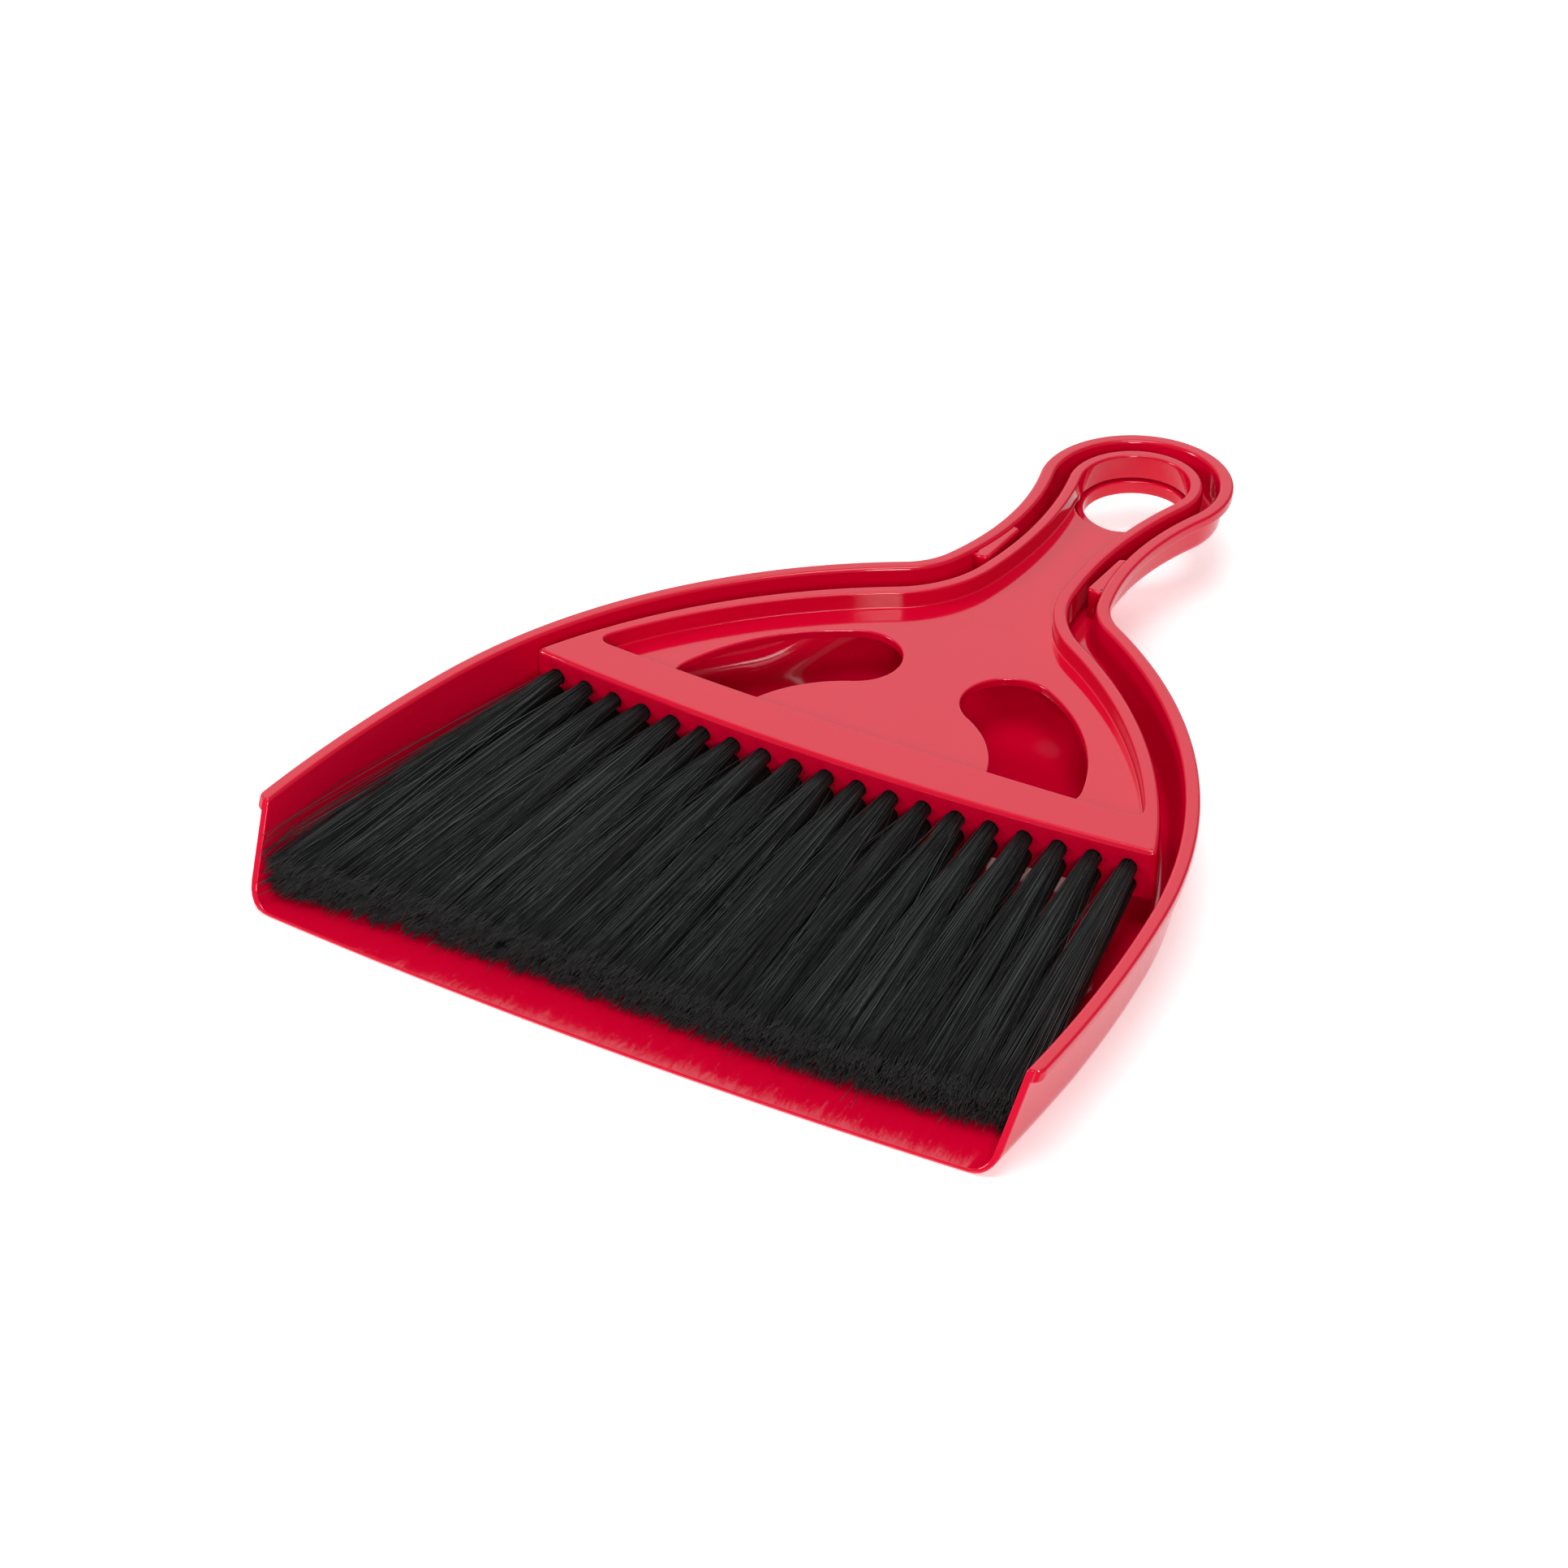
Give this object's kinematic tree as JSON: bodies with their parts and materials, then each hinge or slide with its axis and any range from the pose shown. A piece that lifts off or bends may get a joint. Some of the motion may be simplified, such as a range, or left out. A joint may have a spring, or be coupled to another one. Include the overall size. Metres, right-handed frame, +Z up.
{
  "type": "dust pan and brush set",
  "caption": "Shallow plastic dust pan with a hanging handle, and a flat hand brush with black bristle tufts that lies in it.",
  "frame": {"origin": "on the resting surface, under the middle of the set's bounding box", "axes": "+X across the width, +Y from the lip to the handle, +Z up"},
  "size_m": [0.23, 0.3034, 0.0255],
  "materials": {
    "pan": "glossy moulded polypropylene, red",
    "block": "glossy moulded polypropylene, red",
    "fibre": "black synthetic filament",
    "staple": "drawn steel strip"
  },
  "bodies": {
    "pan": {"pan": "pan"},
    "brush": {"brush_block": "block", "tuft_top_1": "fibre", "tuft_top_2": "fibre", "tuft_top_3": "fibre", "tuft_top_4": "fibre", "tuft_top_5": "fibre", "tuft_top_6": "fibre", "tuft_top_7": "fibre", "tuft_top_8": "fibre", "tuft_top_9": "fibre", "tuft_top_10": "fibre", "tuft_top_11": "fibre", "tuft_top_12": "fibre", "tuft_top_13": "fibre", "tuft_top_14": "fibre", "tuft_top_15": "fibre", "tuft_top_16": "fibre", "tuft_top_17": "fibre", "tuft_top_18": "fibre", "tuft_top_19": "fibre", "tuft_bottom_1": "fibre", "tuft_bottom_2": "fibre", "tuft_bottom_3": "fibre", "tuft_bottom_4": "fibre", "tuft_bottom_5": "fibre", "tuft_bottom_6": "fibre", "tuft_bottom_7": "fibre", "tuft_bottom_8": "fibre", "tuft_bottom_9": "fibre", "tuft_bottom_10": "fibre", "tuft_bottom_11": "fibre", "tuft_bottom_12": "fibre", "tuft_bottom_13": "fibre", "tuft_bottom_14": "fibre", "tuft_bottom_15": "fibre", "tuft_bottom_16": "fibre", "tuft_bottom_17": "fibre", "tuft_bottom_18": "fibre", "tuft_bottom_19": "fibre", "staples_top": "staple", "staples_bottom": "staple"}
  },
  "joints": [
    {"name": "brush_lift", "type": "slide", "parent": "pan", "child": "brush", "axis": [0, 0, 1], "range_m": [0, 0.08]}
  ]
}
